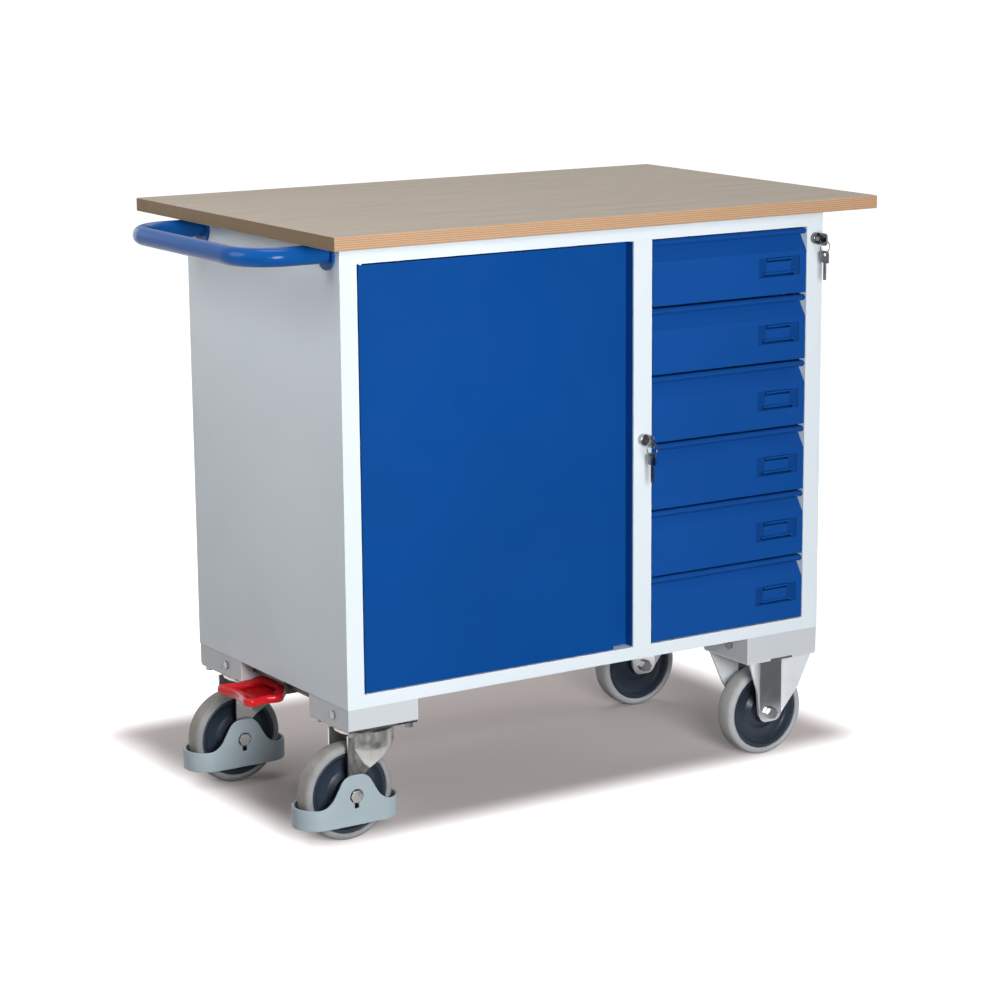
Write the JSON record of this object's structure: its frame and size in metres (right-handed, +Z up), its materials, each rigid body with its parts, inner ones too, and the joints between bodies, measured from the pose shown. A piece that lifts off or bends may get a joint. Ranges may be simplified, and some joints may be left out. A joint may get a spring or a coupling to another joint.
{
  "type": "mobile workbench with drawers",
  "caption": "Mobile steel workbench with a plywood top, hinged cupboard door, column of drawers, push handle, castors with foot guards and a foot brake.",
  "frame": {"origin": "on the floor, at the middle of the overall length and depth", "axes": "+X along the bench away from the push handle, -Y towards the front with door and drawers, +Z up"},
  "size_m": [1.147, 0.675, 0.994],
  "materials": {
    "plywood": "varnished birch plywood",
    "grey_paint": "light grey powder coat",
    "blue_paint": "blue powder coat",
    "red_paint": "glossy red coating",
    "zinc": "zinc-plated steel",
    "dark_steel": "dark steel",
    "chrome": "polished chrome plating",
    "guard_plastic": "light grey moulded plastic",
    "rim_plastic": "dark grey moulded plastic",
    "tyre": "grey non-marking rubber"
  },
  "bodies": {
    "cabinet": {"worktop": "plywood", "side_panel_left": "grey_paint", "side_panel_right": "grey_paint", "back_panel": "grey_paint", "floor_panel": "grey_paint", "top_rail_front": "grey_paint", "centre_partition": "grey_paint", "cupboard_shelf": "grey_paint", "cabinet_runners": "zinc", "runner_uprights": "grey_paint", "push_handle": "blue_paint", "door_hinge_pins": "zinc", "door_lock_barrel": "chrome", "drawer_lock_barrel": "chrome", "swivel_castor_brackets": "grey_paint", "fixed_castor_brackets": "grey_paint", "swivel_castor_plates": "zinc", "fixed_fork_front": "zinc", "fixed_fork_rear": "zinc", "fixed_axle_bolts": "zinc", "frame_bolts": "zinc", "brake_housing": "dark_steel"},
    "door": {"door_panel": "blue_paint"},
    "door_lock_core": {"door_lock_plug": "chrome", "door_key": "dark_steel"},
    "door_key_pendant": {"door_key_ring": "chrome", "door_spare_key": "dark_steel"},
    "drawer_lock_core": {"drawer_lock_plug": "chrome", "drawer_key": "dark_steel"},
    "drawer_key_pendant": {"drawer_key_ring": "chrome", "drawer_spare_key": "dark_steel"},
    "lock_bar": {"drawer_lock_bar": "zinc"},
    "brake": {"brake_pedal": "red_paint", "brake_shaft": "dark_steel"},
    "drawer_1": {"drawer_1_front": "blue_paint", "drawer_1_box": "blue_paint"},
    "drawer_2": {"drawer_2_front": "blue_paint", "drawer_2_box": "blue_paint"},
    "drawer_3": {"drawer_3_front": "blue_paint", "drawer_3_box": "blue_paint"},
    "drawer_4": {"drawer_4_front": "blue_paint", "drawer_4_box": "blue_paint"},
    "drawer_5": {"drawer_5_front": "blue_paint", "drawer_5_box": "blue_paint"},
    "drawer_6": {"drawer_6_front": "blue_paint", "drawer_6_box": "blue_paint"},
    "swivel_castor_front": {"swivel_fork_front": "zinc", "swivel_axle_bolt_front": "zinc", "foot_guard_front": "guard_plastic"},
    "swivel_wheel_front": {"swivel_rim_front": "rim_plastic", "swivel_tyre_front": "tyre"},
    "fixed_wheel_front": {"fixed_rim_front": "rim_plastic", "fixed_tyre_front": "tyre"},
    "swivel_castor_rear": {"swivel_fork_rear": "zinc", "swivel_axle_bolt_rear": "zinc", "foot_guard_rear": "guard_plastic"},
    "swivel_wheel_rear": {"swivel_rim_rear": "rim_plastic", "swivel_tyre_rear": "tyre"},
    "fixed_wheel_rear": {"fixed_rim_rear": "rim_plastic", "fixed_tyre_rear": "tyre"}
  },
  "joints": [
    {"name": "door_hinge", "type": "hinge", "parent": "cabinet", "child": "door", "pos_m": [-0.3855, -0.2535, 0.5965], "axis": [0, 0, -1], "range_deg": [0, 110]},
    {"name": "door_lock_turn", "type": "hinge", "parent": "cabinet", "child": "door_lock_core", "pos_m": [0.14475, -0.2575, 0.6075], "axis": [0, -1, 0], "range_deg": [0, 90]},
    {"name": "door_key_swing", "type": "hinge", "parent": "door_lock_core", "child": "door_key_pendant", "pos_m": [0.14475, -0.2854, 0.6051], "axis": [-1, 0, 0], "range_deg": [-18, 80]},
    {"name": "drawer_lock_turn", "type": "hinge", "parent": "cabinet", "child": "drawer_lock_core", "pos_m": [0.5035, -0.2575, 0.918], "axis": [0, -1, 0], "range_deg": [0, 90]},
    {"name": "drawer_key_swing", "type": "hinge", "parent": "drawer_lock_core", "child": "drawer_key_pendant", "pos_m": [0.5035, -0.2854, 0.9156], "axis": [-1, 0, 0], "range_deg": [-18, 80]},
    {"name": "lock_bar_lift", "type": "slide", "parent": "cabinet", "child": "lock_bar", "axis": [0, 0, 1], "range_m": [0, 0.01]},
    {"name": "drawer_1_slide", "type": "slide", "parent": "cabinet", "child": "drawer_1", "axis": [0, -1, 0], "range_m": [0, 0.37]},
    {"name": "drawer_2_slide", "type": "slide", "parent": "cabinet", "child": "drawer_2", "axis": [0, -1, 0], "range_m": [0, 0.37]},
    {"name": "drawer_3_slide", "type": "slide", "parent": "cabinet", "child": "drawer_3", "axis": [0, -1, 0], "range_m": [0, 0.37]},
    {"name": "drawer_4_slide", "type": "slide", "parent": "cabinet", "child": "drawer_4", "axis": [0, -1, 0], "range_m": [0, 0.37]},
    {"name": "drawer_5_slide", "type": "slide", "parent": "cabinet", "child": "drawer_5", "axis": [0, -1, 0], "range_m": [0, 0.37]},
    {"name": "drawer_6_slide", "type": "slide", "parent": "cabinet", "child": "drawer_6", "axis": [0, -1, 0], "range_m": [0, 0.37]},
    {"name": "swivel_front", "type": "hinge", "parent": "cabinet", "child": "swivel_castor_front", "pos_m": [-0.3585, -0.1925, 0.18], "axis": [0, 0, 1], "continuous": true},
    {"name": "swivel_wheel_front_spin", "type": "hinge", "parent": "swivel_castor_front", "child": "swivel_wheel_front", "pos_m": [-0.3965, -0.1925, 0.08], "axis": [0, 1, 0], "continuous": true},
    {"name": "fixed_wheel_front_spin", "type": "hinge", "parent": "cabinet", "child": "fixed_wheel_front", "pos_m": [0.444, -0.1925, 0.08], "axis": [0, 1, 0], "continuous": true},
    {"name": "swivel_rear", "type": "hinge", "parent": "cabinet", "child": "swivel_castor_rear", "pos_m": [-0.3585, 0.1925, 0.18], "axis": [0, 0, 1], "continuous": true},
    {"name": "swivel_wheel_rear_spin", "type": "hinge", "parent": "swivel_castor_rear", "child": "swivel_wheel_rear", "pos_m": [-0.3965, 0.1925, 0.08], "axis": [0, 1, 0], "continuous": true},
    {"name": "fixed_wheel_rear_spin", "type": "hinge", "parent": "cabinet", "child": "fixed_wheel_rear", "pos_m": [0.444, 0.1925, 0.08], "axis": [0, 1, 0], "continuous": true},
    {"name": "brake_press", "type": "hinge", "parent": "cabinet", "child": "brake", "pos_m": [-0.3935, 0.0515, 0.214], "axis": [0, -1, 0], "range_deg": [0, 20]}
  ],
  "couplings": [
    {"joint": "lock_bar_lift", "follows": "drawer_lock_turn", "m_per_rad": 0.0063662}
  ]
}
